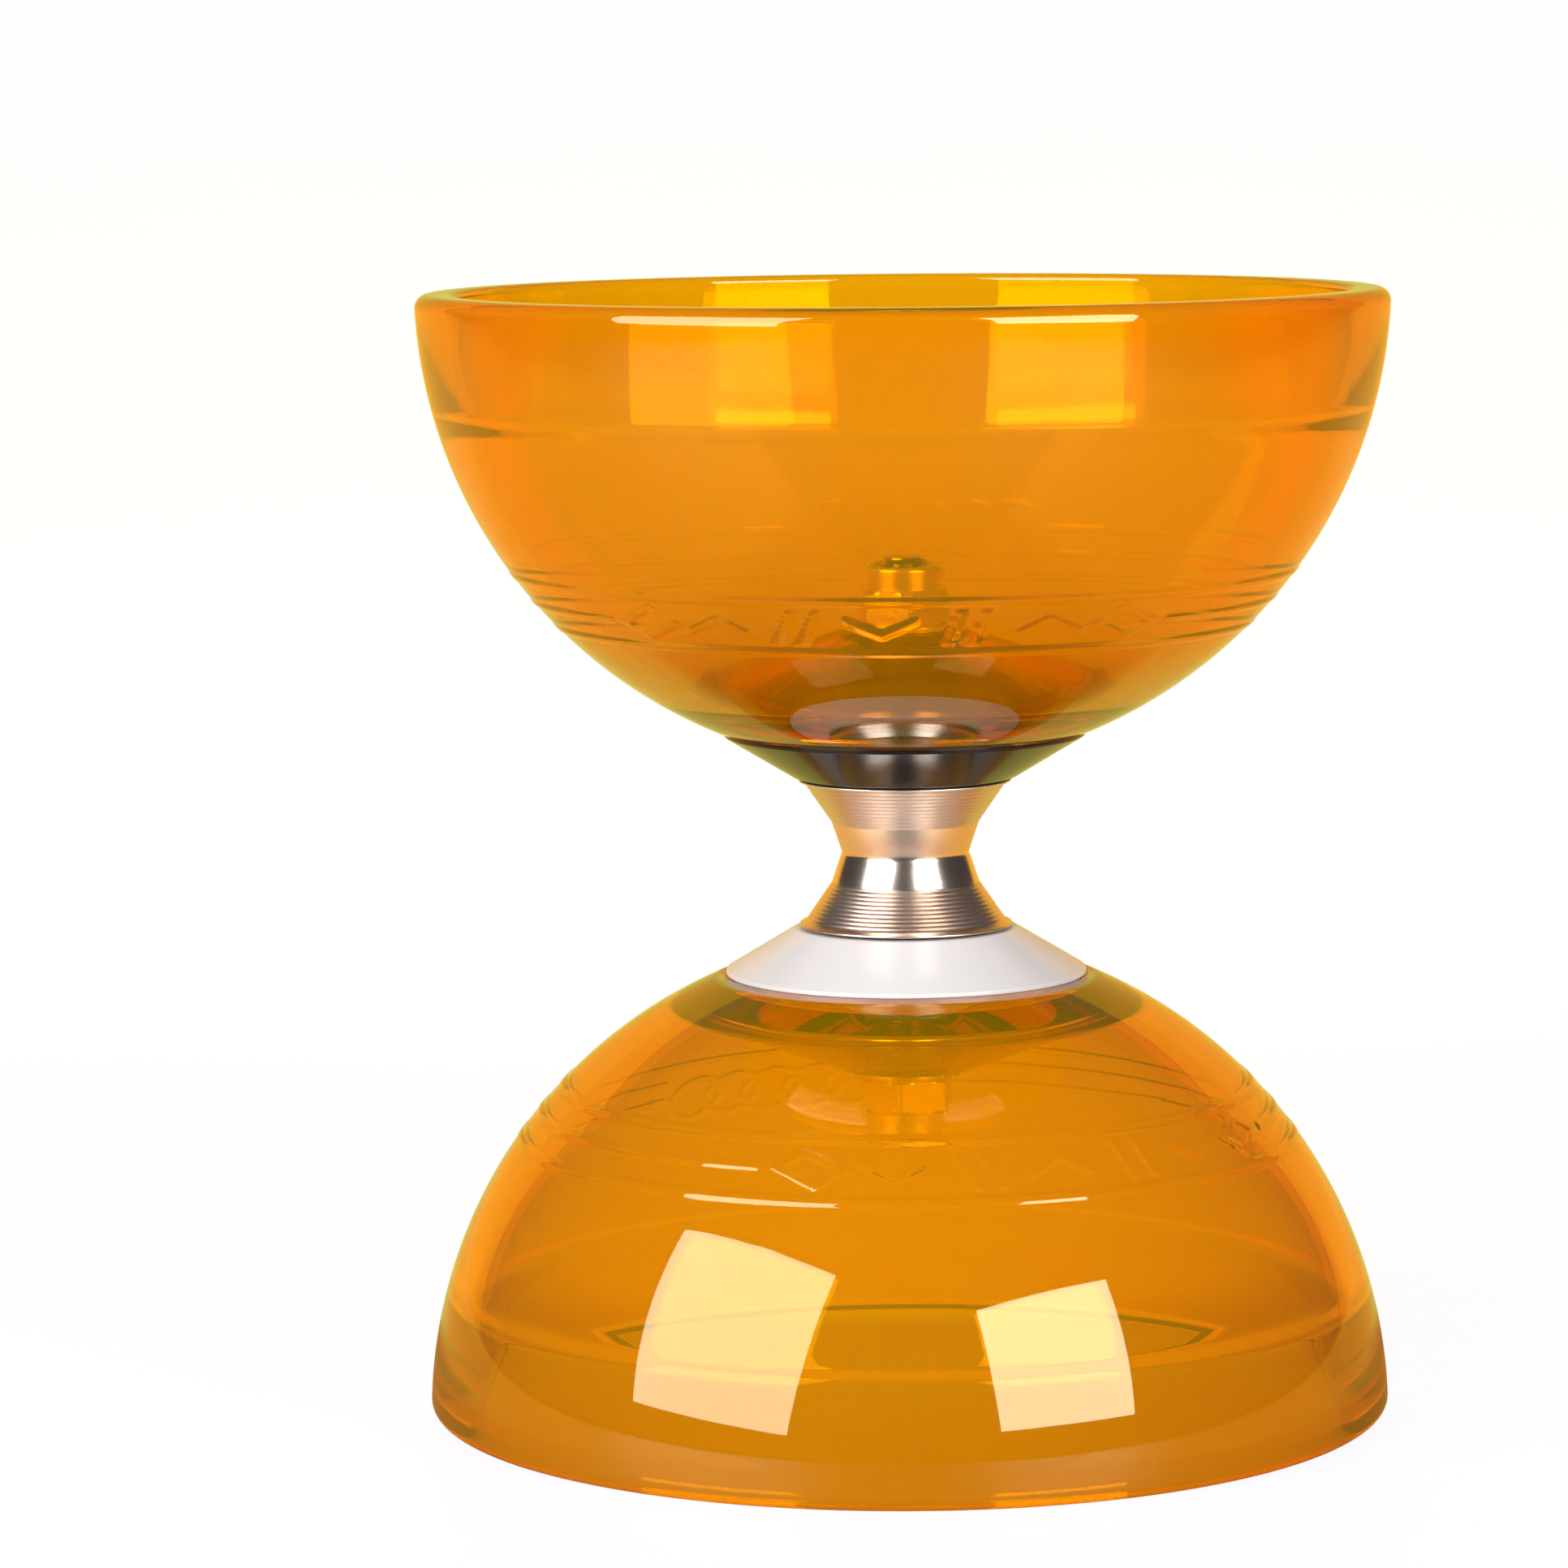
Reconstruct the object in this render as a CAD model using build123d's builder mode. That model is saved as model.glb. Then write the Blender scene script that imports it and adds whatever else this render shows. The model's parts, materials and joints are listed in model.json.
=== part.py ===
from build123d import *
import os
from math import cos, radians, sqrt, tan

# Bearing diabolo: two moulded bowls clamped on an axle, with a steel string hub turning between them.

# Millimetres. +Z runs up the spin axis, and the origin is the centre of the lower rim,
# where the toy stands. Profiles are drawn as (radius, distance from the hub's middle).

# Bowls: each is a sphere's cap, open at the rim
bowl_radius = 63.0
neck_radius = 24.0  # where the bowl's outside meets its cone washer
rim_below_centre = 0.95  # the rim stops this far short of the sphere's full width
bowl_wall = 3.4
rim_bore_depth = 16.0  # straight bore inside the rim, down to a narrow ledge
rim_ledge = 0.86
rim_outer_edge = 1.7
rim_inner_edge = 0.8
rim_ledge_edge = 0.3
ridge_radius = 0.55  # moulded rings round the outside
ridge_stand = 0.4
ridge_rises = (14.4, 21.1)  # above the neck

# Floor of each bowl: a flat seat, a cone falling away from it and a gutter round the cone
seat_rise = 13.2  # above the neck
seat_radius = 8.0
base_wall = 3.5
gutter_rise = 5.85  # above the neck
gutter_width = 1.4
gutter_depth = 0.6
dish_flat_radius = 7.5
dish_lip = 1.0

# Cone washers
cone_small_radius = 14.5
cone_rise = 5.5
cone_flange = 0.5
cone_step = 0.4  # the flange is this much smaller than the neck
cone_edge = 0.4
boss_radius = 4.4
plug_clearance = 0.15

# String hub
hub_length = 19.2
waist_radius = 8.3
waist_round = 0.9  # half the height of the rounded groove at the waist
break_radius = 9.6  # where the inner cones meet the outer ones
break_height = 3.85
hub_lip_radius = 13.9
hub_lip_height = 0.6
hub_cone_radius = 13.1  # outer cone, just inside the lip
hub_gap = 0.3  # between the hub's end and the cone washer
mouth_chamfer = 0.4

# Ball bearings, quarter-inch bore
bearing_bore_radius = 3.175
bearing_outer_radius = 7.9375
bearing_width = 4.978
bearing_recess = 0.42  # below the hub's end
ball_radius = 1.19
ball_count = 8
land_depth = 0.35  # depth of each race's groove
race_clearance = 0.04
ring_chamfer = 0.3
cage_half_height = 1.65
cage_half_thickness = 0.4
pocket_clearance = 0.06
shield_thickness = 0.25
shield_inset = 0.1
shield_seat = 0.35
shield_gap = 0.23  # from the shield to the inner ring

# One-way roller clutch
track_radius = 4.0  # hardened middle of the axle
clutch_outer_radius = 6.0
clutch_length = 8.0
clutch_wall = 0.75
clutch_lip_radius = 4.4
clutch_lip = 0.6
roller_radius = 0.6
roller_length = 5.4
roller_count = 8
ramp_radius = 0.72
ramp_lift = 0.08
ramp_angle = 4.0
clutch_cage_wall = 1.0
clutch_cage_gap = 0.12
cage_window = 2.2
cage_window_angle = 4.5
spring_radius = 0.36
spring_wall = 0.1
spring_length = 5.0
spring_angle = 12.4

# Axle, nuts and washers, quarter-inch thread
axle_end_beyond_nut = 1.0
axle_chamfer = 0.7
washer_radius = 7.0
washer_hole_radius = 3.35
washer_thickness = 0.8
washer_edge = 0.15
nut_across_flats = 11.1
nut_hex_height = 4.5
nut_turns = {"upper": 36.6, "lower": 21.0}  # where each nut stopped when it was tightened, degrees
collar_radius = 5.35
collar_height = 3.1
collar_round = 0.9
insert_radius = 4.6
insert_thickness = 2.3
insert_mouth_radius = 4.1

# Fits
press_gap = 0.01
axle_hole_gap = 0.1
thread_gap = 0.02
roller_gap = 0.02

# Heights from the hub's middle, outwards
hub_half = hub_length / 2
cone_face = hub_half + hub_gap
cone_edge_height = cone_face + cone_rise
neck = cone_edge_height + cone_flange
bowl_centre = neck + sqrt(bowl_radius**2 - neck_radius**2)
rim = bowl_centre - rim_below_centre
seat = neck + seat_rise
dish_top = seat - base_wall
nut_foot = seat + washer_thickness
hex_top = nut_foot + nut_hex_height
nut_top = hex_top + collar_height
axle_end = nut_top + axle_end_beyond_nut
bearing_outer_face = hub_half - bearing_recess
bearing_inner_face = bearing_outer_face - bearing_width
bearing_middle = (bearing_outer_face + bearing_inner_face) / 2

# Sizes worked out from the ones above
axle_radius = bearing_bore_radius - press_gap
axle_hole_radius = axle_radius + axle_hole_gap
pitch_radius = (bearing_bore_radius + bearing_outer_radius) / 2
race_radius = ball_radius + race_clearance
inner_land = pitch_radius - ball_radius + land_depth
outer_land = pitch_radius + ball_radius - land_depth
roller_pitch = track_radius + roller_gap + roller_radius
clutch_inner_radius = clutch_outer_radius - clutch_wall
clutch_cavity = clutch_length / 2 - clutch_lip
flange_radius = neck_radius - cone_step
dish_radius = neck_radius - dish_lip
plug_radius = dish_radius - plug_clearance
plug_boss_radius = dish_flat_radius - plug_clearance

inner_radius = bowl_radius - bowl_wall
ledge_height = rim - rim_bore_depth
ledge_radius = sqrt(inner_radius**2 - (bowl_centre - ledge_height) ** 2)
bore_radius = ledge_radius + rim_ledge
gutter_floor = neck + gutter_rise
gutter_outer = sqrt(inner_radius**2 - (bowl_centre - gutter_floor) ** 2)
gutter_inner = gutter_outer - gutter_width
floor_slope = (seat - gutter_floor - gutter_depth) / (gutter_inner - seat_radius)
plug_top = dish_top - (dish_radius - dish_flat_radius) * floor_slope - plug_clearance

sides = {"upper": 1, "lower": -1}


def section(side):
    """Drawing plane through the axis, with its origin at the hub's middle and its height outwards."""
    return Plane(origin=(0, 0, rim), x_dir=(1, 0, 0), z_dir=(0, -side, 0))


def level(height):
    """Horizontal plane at a height above the hub's middle."""
    return Plane.XY.offset(rim + height)


def sphere_point(radius, height):
    """Where a sphere round the bowl's centre passes a height."""
    return (sqrt(radius**2 - (bowl_centre - height) ** 2), height)


def sphere_arc(radius, start, end):
    middle = (start + end) / 2
    points = [sphere_point(radius, height) for height in (start, middle, end)]
    return ThreePointArc(*points)


def write_piece(piece, name):
    piece.part.label = name
    export_step(piece.part, f"parts/{name}.step")


def make_cup(name, side):
    """Moulded bowl with a straight bore inside its rim, a coned floor and a dished back for the cone washer."""
    ridge_track = bowl_radius + ridge_stand - ridge_radius
    with BuildPart() as cup:
        with BuildSketch(section(side)) as outline:
            with BuildLine():
                Polyline(
                    (dish_flat_radius, dish_top),
                    (axle_hole_radius, dish_top),
                    (axle_hole_radius, seat),
                    (seat_radius, seat),
                    (gutter_inner, gutter_floor + gutter_depth),
                    (gutter_inner, gutter_floor),
                    (gutter_outer, gutter_floor),
                )
                sphere_arc(inner_radius, gutter_floor, ledge_height)
                ledge = Line((ledge_radius, ledge_height), (bore_radius, ledge_height))
                Line(ledge @ 1, (bore_radius, rim))
                lip = Line((bore_radius, rim), sphere_point(bowl_radius, rim))
                sphere_arc(bowl_radius, rim, neck)
                Polyline(
                    (neck_radius, neck),
                    (dish_radius, neck),
                    (dish_radius, dish_top - (dish_radius - dish_flat_radius) * floor_slope),
                    (dish_flat_radius, dish_top),
                )
            make_face()
            edges = ((lip @ 1, rim_outer_edge), (lip @ 0, rim_inner_edge), (ledge @ 0, rim_ledge_edge))
            for corner, radius in edges:
                fillet(outline.vertices().sort_by_distance(corner)[0], radius)
            with Locations(*[sphere_point(ridge_track, neck + rise) for rise in ridge_rises]):
                Circle(ridge_radius)
        revolve(axis=Axis.Z)
    write_piece(cup, name)


def make_cone_washer(name, side):
    """Plastic cone from the hub out to the bowl, with a plug and a boss that reach into its dished back."""
    with BuildPart() as cone:
        with BuildSketch(section(side)) as outline:
            with BuildLine():
                face = Line((boss_radius, cone_face), (cone_small_radius, cone_face))
                Polyline(
                    face @ 1,
                    (flange_radius, cone_edge_height),
                    (flange_radius, neck),
                    (plug_radius, neck),
                    (plug_radius, plug_top),
                    (plug_boss_radius, plug_top),
                    (plug_boss_radius, dish_top),
                    (axle_hole_radius, dish_top),
                    (axle_hole_radius, bearing_outer_face),
                    (boss_radius, bearing_outer_face),
                    face @ 0,
                )
            make_face()
            fillet(outline.vertices().sort_by_distance(face @ 1)[0], cone_edge)
        revolve(axis=Axis.Z)
    write_piece(cone, name)


def make_flat_washer(name, side):
    with BuildPart() as washer:
        with BuildSketch(level(side * (seat + nut_foot) / 2)):
            Circle(washer_radius)
            Circle(washer_hole_radius, mode=Mode.SUBTRACT)
        extrude(amount=washer_thickness / 2, both=True)
        fillet(washer.edges().filter_by(GeomType.CIRCLE).group_by(SortBy.RADIUS)[-1], washer_edge)
    write_piece(washer, name)


def make_lock_nut(name, side, turn):
    """Hexagon with coned corners and a crimped collar that holds the nylon ring."""
    corner_radius = nut_across_flats / 2 / cos(radians(30))
    corner_drop = (corner_radius - nut_across_flats / 2) * tan(radians(30))
    hole = axle_radius + thread_gap
    pocket_foot = hex_top + press_gap
    pocket_top = pocket_foot + insert_thickness + thread_gap
    with BuildPart() as nut:
        with BuildSketch(level(side * (nut_foot + hex_top) / 2)):
            RegularPolygon(nut_across_flats / 2, 6, major_radius=False, rotation=turn)
        extrude(amount=nut_hex_height / 2, both=True)
        with BuildSketch(section(side)):
            with BuildLine():
                Polyline(
                    (0, nut_foot),
                    (nut_across_flats / 2, nut_foot),
                    (corner_radius, nut_foot + corner_drop),
                    (corner_radius, hex_top - corner_drop),
                    (nut_across_flats / 2, hex_top),
                    (0, hex_top),
                    close=True,
                )
            make_face()
        revolve(axis=Axis.Z, mode=Mode.INTERSECT)
        with BuildSketch(section(side)) as collar:
            with BuildLine():
                Polyline(
                    (0, hex_top),
                    (collar_radius, hex_top),
                    (collar_radius, nut_top),
                    (0, nut_top),
                    close=True,
                )
            make_face()
            fillet(collar.vertices().sort_by_distance((collar_radius, nut_top))[0], collar_round)
        revolve(axis=Axis.Z)
        with BuildSketch(section(side)):
            with BuildLine():
                Polyline(
                    (0, nut_foot),
                    (hole, nut_foot),
                    (hole, pocket_foot),
                    (insert_radius + press_gap, pocket_foot),
                    (insert_radius + press_gap, pocket_top),
                    (insert_mouth_radius, pocket_top),
                    (insert_mouth_radius, nut_top),
                    (0, nut_top),
                    close=True,
                )
            make_face()
        revolve(axis=Axis.Z, mode=Mode.SUBTRACT)
    write_piece(nut, name)


def make_nut_insert(name, side):
    """Nylon ring that grips the thread."""
    with BuildPart() as insert:
        with BuildSketch(level(side * (hex_top + press_gap + insert_thickness / 2))):
            Circle(insert_radius)
            Circle(axle_radius + thread_gap, mode=Mode.SUBTRACT)
        extrude(amount=insert_thickness / 2, both=True)
    write_piece(insert, name)


def make_axle():
    """Shouldered shaft: a hardened roller track in the middle and a threaded stud at each end."""
    with BuildPart() as axle:
        with BuildSketch(level(0)):
            Circle(axle_radius)
        extrude(amount=axle_end, both=True)
        chamfer(axle.edges().filter_by(GeomType.CIRCLE), axle_chamfer)
        with BuildSketch(level(0)):
            Circle(track_radius)
        extrude(amount=bearing_inner_face, both=True)
    write_piece(axle, "axle_shaft")


def make_hub():
    """Steel hourglass that the string runs on, bored for the clutch and counterbored for the bearings."""
    waist_edge = break_radius - (break_radius - waist_radius) * (break_height - waist_round) / break_height
    lip_foot = hub_half - hub_lip_height
    outer = [
        (break_radius, break_height),
        (hub_cone_radius, lip_foot),
        (hub_lip_radius, hub_half),
    ]
    with BuildPart() as hub:
        with BuildSketch(section(1)):
            with BuildLine():
                ThreePointArc((waist_edge, -waist_round), (waist_radius, 0), (waist_edge, waist_round))
                for side in sides.values():
                    Polyline(
                        (waist_edge, side * waist_round),
                        *[(radius, side * height) for radius, height in outer],
                        (bearing_outer_radius + press_gap + mouth_chamfer, side * hub_half),
                        (bearing_outer_radius + press_gap, side * (hub_half - mouth_chamfer)),
                        (bearing_outer_radius + press_gap, side * bearing_inner_face),
                        (clutch_outer_radius, side * bearing_inner_face),
                        (clutch_outer_radius, 0),
                    )
            make_face()
        revolve(axis=Axis.Z)
    write_piece(hub, "hub_spool")


def make_bearing(name, side):
    """Shielded ball bearing: two rings, caged balls and a shield on each face."""
    step_radius = outer_land + shield_seat
    step_height = shield_inset + shield_thickness + press_gap
    middle = side * bearing_middle
    half = bearing_width / 2
    with BuildPart() as outer_ring:
        with BuildSketch(section(side)) as outer_section:
            with Locations(((outer_land + bearing_outer_radius) / 2, bearing_middle)):
                Rectangle(bearing_outer_radius - outer_land, bearing_width)
            chamfer(outer_section.vertices().group_by(Axis.X)[-1], ring_chamfer)
            with Locations((pitch_radius, bearing_middle)):
                Circle(race_radius, mode=Mode.SUBTRACT)
            for face in (-1, 1):
                with Locations((pitch_radius, bearing_middle + face * half)):
                    Rectangle(2 * (step_radius - pitch_radius), 2 * step_height, mode=Mode.SUBTRACT)
        revolve(axis=Axis.Z)
    write_piece(outer_ring, f"{name}_outer_ring")

    with BuildPart() as inner_ring:
        with BuildSketch(section(side)) as inner_section:
            with Locations(((inner_land + bearing_bore_radius) / 2, bearing_middle)):
                Rectangle(inner_land - bearing_bore_radius, bearing_width)
            chamfer(inner_section.vertices().group_by(Axis.X)[0], ring_chamfer)
            with Locations((pitch_radius, bearing_middle)):
                Circle(race_radius, mode=Mode.SUBTRACT)
        revolve(axis=Axis.Z)
    write_piece(inner_ring, f"{name}_inner_ring")

    with BuildPart() as balls:
        with Locations((0, 0, rim + middle)):
            with PolarLocations(pitch_radius, ball_count):
                Sphere(ball_radius)
    write_piece(balls, f"{name}_balls")

    with BuildPart() as cage:
        with BuildSketch(level(middle)):
            Circle(pitch_radius + cage_half_thickness)
            Circle(pitch_radius - cage_half_thickness, mode=Mode.SUBTRACT)
        extrude(amount=cage_half_height, both=True)
        with Locations((0, 0, rim + middle)):
            with PolarLocations(pitch_radius, ball_count):
                pocket_depth = 2 * cage_half_thickness + ball_radius
                Cylinder(ball_radius + pocket_clearance, pocket_depth, rotation=(0, 90, 0), mode=Mode.SUBTRACT)
    write_piece(cage, f"{name}_cage")

    for place, face in (("outer", 1), ("inner", -1)):
        height = bearing_middle + face * (half - shield_inset - shield_thickness / 2)
        with BuildPart() as shield:
            with BuildSketch(level(side * height)):
                Circle(step_radius - press_gap)
                Circle(inner_land + shield_gap, mode=Mode.SUBTRACT)
            extrude(amount=shield_thickness / 2, both=True)
        write_piece(shield, f"{name}_{place}_shield")


def make_clutch():
    """One-way roller clutch: a drawn shell with ramps, caged rollers and a leaf spring behind each."""
    shell_radius = clutch_outer_radius - press_gap
    with BuildPart() as shell:
        with BuildSketch(section(1)):
            with Locations(((clutch_lip_radius + shell_radius) / 2, 0)):
                Rectangle(shell_radius - clutch_lip_radius, clutch_length)
            with Locations(((clutch_lip_radius + clutch_inner_radius) / 2, 0)):
                Rectangle(clutch_inner_radius - clutch_lip_radius, 2 * clutch_cavity, mode=Mode.SUBTRACT)
        revolve(axis=Axis.Z)
        with BuildSketch(level(0)):
            with PolarLocations(roller_pitch + ramp_lift, roller_count, start_angle=ramp_angle):
                Circle(ramp_radius)
        extrude(amount=roller_length / 2 + pocket_clearance, both=True, mode=Mode.SUBTRACT)
    write_piece(shell, "clutch_shell")

    with BuildPart() as rollers:
        with BuildSketch(level(0)):
            with PolarLocations(roller_pitch, roller_count):
                Circle(roller_radius)
        extrude(amount=roller_length / 2, both=True)
    write_piece(rollers, "clutch_rollers")

    with BuildPart() as cage:
        with BuildSketch(level(0)):
            Circle(track_radius + clutch_cage_gap + clutch_cage_wall)
            Circle(track_radius + clutch_cage_gap, mode=Mode.SUBTRACT)
        extrude(amount=clutch_cavity - clutch_cage_gap, both=True)
        with BuildSketch(level(0)):
            with PolarLocations(roller_pitch, roller_count, start_angle=cage_window_angle):
                Rectangle(2 * roller_radius + clutch_cage_wall, cage_window)
        extrude(amount=roller_length / 2 + pocket_clearance, both=True, mode=Mode.SUBTRACT)
    write_piece(cage, "clutch_cage")

    with BuildPart() as springs:
        with BuildSketch(level(0)):
            with PolarLocations(roller_pitch, roller_count, start_angle=spring_angle):
                Circle(spring_radius)
                Circle(spring_radius - spring_wall, mode=Mode.SUBTRACT)
                with Locations((spring_radius, 0)):
                    Rectangle(2 * spring_radius, spring_radius, mode=Mode.SUBTRACT)
        extrude(amount=spring_length / 2, both=True)
    write_piece(springs, "clutch_springs")


os.makedirs("parts", exist_ok=True)
for side_name, side in sides.items():
    make_cup(f"{side_name}_cup", side)
    make_cone_washer(f"{side_name}_cone_washer", side)
    make_flat_washer(f"{side_name}_flat_washer", side)
    make_lock_nut(f"{side_name}_lock_nut", side, nut_turns[side_name])
    make_nut_insert(f"{side_name}_nut_insert", side)
    make_bearing(f"{side_name}_bearing", side)
make_axle()
make_hub()
make_clutch()

print("over the rims", round(2 * rim, 3), "across a bowl", round(2 * sphere_point(bowl_radius, rim)[0], 3))
print("string waist", 2 * waist_radius, "axle length", round(2 * axle_end, 3))
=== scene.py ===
import json
import math

import bpy
import numpy as np
from mathutils import Matrix, Vector


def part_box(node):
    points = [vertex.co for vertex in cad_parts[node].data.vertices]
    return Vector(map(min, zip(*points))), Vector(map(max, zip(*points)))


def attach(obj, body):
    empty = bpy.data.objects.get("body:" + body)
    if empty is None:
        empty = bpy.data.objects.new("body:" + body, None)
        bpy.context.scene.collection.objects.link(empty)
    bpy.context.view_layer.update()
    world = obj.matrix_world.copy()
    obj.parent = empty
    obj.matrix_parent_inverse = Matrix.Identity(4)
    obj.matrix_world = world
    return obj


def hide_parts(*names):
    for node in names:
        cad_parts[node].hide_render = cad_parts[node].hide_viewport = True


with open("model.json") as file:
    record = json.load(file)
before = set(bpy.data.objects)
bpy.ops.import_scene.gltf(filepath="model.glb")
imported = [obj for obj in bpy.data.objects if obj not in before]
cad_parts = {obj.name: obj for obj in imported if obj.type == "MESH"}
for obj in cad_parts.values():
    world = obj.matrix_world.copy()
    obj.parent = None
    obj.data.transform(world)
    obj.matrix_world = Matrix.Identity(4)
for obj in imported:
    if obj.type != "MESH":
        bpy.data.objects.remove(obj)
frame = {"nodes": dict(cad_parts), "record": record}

# A bearing diabolo: amber bowls, plastic cones, a turned steel hub and the hardware that clamps them.
# Shapes are worked out in millimetres as (radius, distance from the hub's middle) and written in metres.

mm = 0.001
scene = bpy.context.scene
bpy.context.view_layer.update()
hubLow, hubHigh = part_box("hub_spool")
hubMiddle = (hubLow[2] + hubHigh[2]) / 2 / mm


def span(node):
    # nearest and farthest distance of a node from the hub's middle, along the axis
    low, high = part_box(node)
    return tuple(sorted(abs(end[2] / mm - hubMiddle) for end in (low, high)))


def reach(node):
    # largest radius of a node
    low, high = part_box(node)
    return (high[0] - low[0]) / 2 / mm


neck, rim = span("upper_cup")
coneFoot, dishTop = span("upper_cone_washer")
seat, nutFoot = span("upper_flat_washer")
nutTop = span("upper_lock_nut")[1]
axleEnd = span("axle_shaft")[1]
hubEnd = span("hub_spool")[1]
sides = {"upper": 1, "lower": -1}
print("frame read, hub's middle at", round(hubMiddle, 2), "mm")


def arc(centre, radius, start, end, count):
    # circle: centre plus radius times (cos, sin) of an angle that runs evenly from start to end, in degrees
    angle = np.radians(np.linspace(start, end, count))
    return np.column_stack([centre[0] + radius * np.cos(angle), centre[1] + radius * np.sin(angle)])


def line(start, end, count=2):
    # straight run: start plus an even share of the way to end
    return np.linspace(start, end, count)


def rounded(corners, bend=0.3, arcSteps=5, closed=True):
    # polygon with each corner cut back by its bend and bridged by the parabola
    # (1-t)^2 a + 2t(1-t) corner + t^2 b; a corner may name its own bend as a third number,
    # and short straight leads keep the flats' shading flat
    points = np.array([corner[:2] for corner in corners], float)
    bends = [corner[2] if len(corner) > 2 else bend for corner in corners]
    share = np.linspace(0, 1, arcSteps)[:, None]
    mostBend, leadShare = 0.45, 0.12
    runs = []
    for i, corner in enumerate(points):
        if not closed and i in (0, len(points) - 1):
            runs.append(corner[None])
            continue
        before, after = points[i - 1] - corner, points[(i + 1) % len(points)] - corner
        size = min(bends[i], mostBend * np.linalg.norm(before), mostBend * np.linalg.norm(after))
        a = corner + before / np.linalg.norm(before) * size
        b = corner + after / np.linalg.norm(after) * size
        lead = leadShare * size
        runs.append((a + before / np.linalg.norm(before) * lead)[None])
        runs.append((1 - share) ** 2 * a + 2 * share * (1 - share) * corner + share**2 * b)
        runs.append((b + after / np.linalg.norm(after) * lead)[None])
    return np.vstack(runs)


def evenTurns(count):
    return np.arange(count) * 2 * np.pi / count


def gridQuads(index):
    # one quad for each cell of a grid of vertex numbers
    return np.stack([index[:-1, :-1], index[:-1, 1:], index[1:, 1:], index[1:, :-1]], 2).reshape(-1, 4)


def spun(outline, turns, side=1, shape=None, closed=True):
    # surface of two parameters: point i of the outline carried round to angle j is (r cos a, r sin a, h),
    # where shape, if given, turns the plain radius and height grids into the wanted ones
    radius = np.repeat(outline[:, :1], len(turns), 1)
    height = np.repeat(outline[:, 1:], len(turns), 1)
    angle = np.repeat(turns[None], len(outline), 0)
    if shape:
        radius, height = shape(radius, height, angle)
    grid = np.stack([radius * np.cos(angle), radius * np.sin(angle), hubMiddle + side * height], 2)
    rows, columns = grid.shape[:2]
    index = np.arange(rows * columns).reshape(rows, columns)
    if closed:
        index = np.vstack([index, index[:1]])
    index = np.hstack([index, index[:, :1]])
    faces = gridQuads(index).tolist()
    if not closed:
        faces += [index[0, :-1][::-1].tolist(), index[-1, :-1].tolist()]
    return grid.reshape(-1, 3) * mm, faces


def signedVolume(vertices, faces):
    # sum over triangles of a . (b x c) / 6: negative where the faces point inwards
    triangles = np.array([(face[0], face[i], face[i + 1]) for face in faces for i in range(1, len(face) - 1)])
    a, b, c = (vertices[triangles[:, k]] for k in range(3))
    return float(np.einsum("ij,ij->i", a, np.cross(b, c)).sum() / 6)


def addPiece(name, shape, body, slotName, stands, crease=None):
    vertices, faces = shape
    if signedVolume(vertices, faces) < 0:
        faces = [face[::-1] for face in faces]
    mesh = bpy.data.meshes.new(name)
    mesh.from_pydata(vertices.tolist(), [], faces)
    mesh.shade_smooth()
    if crease:
        mesh.set_sharp_from_angle(angle=math.radians(crease))
    mesh.materials.append(looks[slotName])
    piece = bpy.data.objects.new(name, mesh)
    scene.collection.objects.link(piece)
    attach(piece, body)
    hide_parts(stands)
    return piece


class Signal:
    # a node's output, with Python's own operators for the Math nodes between outputs
    def __init__(self, nodes, node, out):
        self.nodes = nodes
        self.node = node
        self.socket = node.outputs[out] if len(node.outputs) else None

    def maths(self, operation, *values):
        return self.nodes.node("ShaderNodeMath", {"operation": operation}, dict(enumerate(values)))

    def __add__(self, other):
        return self.maths("ADD", self, other)

    def __sub__(self, other):
        return self.maths("SUBTRACT", self, other)

    def __rsub__(self, other):
        return self.maths("SUBTRACT", other, self)

    def __mul__(self, other):
        return self.maths("MULTIPLY", self, other)

    def __truediv__(self, other):
        return self.maths("DIVIDE", self, other)

    def __rtruediv__(self, other):
        return self.maths("DIVIDE", other, self)

    def __pow__(self, other):
        return self.maths("POWER", self, other)

    def __rpow__(self, other):
        return self.maths("POWER", other, self)

    def __abs__(self):
        return self.maths("ABSOLUTE", self)

    __radd__ = __add__
    __rmul__ = __mul__


class Nodes:
    # a node tree, emptied, and the one method that makes its nodes
    def __init__(self, tree):
        self.tree = tree
        tree.nodes.clear()

    def node(self, kind, settings=None, inputs=None, out=0):
        made = self.tree.nodes.new(kind)
        for name, value in (settings or {}).items():
            setattr(made, name, value)
        for name, value in (inputs or {}).items():
            self.feed(made.inputs[name], value)
        return Signal(self, made, out)

    def feed(self, socket, value):
        if isinstance(value, Signal):
            self.tree.links.new(value.socket, socket)
        else:
            socket.default_value = value

    def axes(self, place, names):
        return [self.node("ShaderNodeSeparateXYZ", {}, {"Vector": place}, name) for name in names]

    def smooth(self, value, low, high, start=0.0, end=1.0):
        # start at low, turning into end at high along 3t^2 - 2t^3
        inputs = {"Value": value, "From Min": low, "From Max": high, "To Min": start, "To Max": end}
        return self.node("ShaderNodeMapRange", {"interpolation_type": "SMOOTHSTEP"}, inputs)

    def mixColour(self, share, low, high):
        return self.node("ShaderNodeMix", {"data_type": "RGBA"}, {0: share, 6: low, 7: high}, 2)


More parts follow.
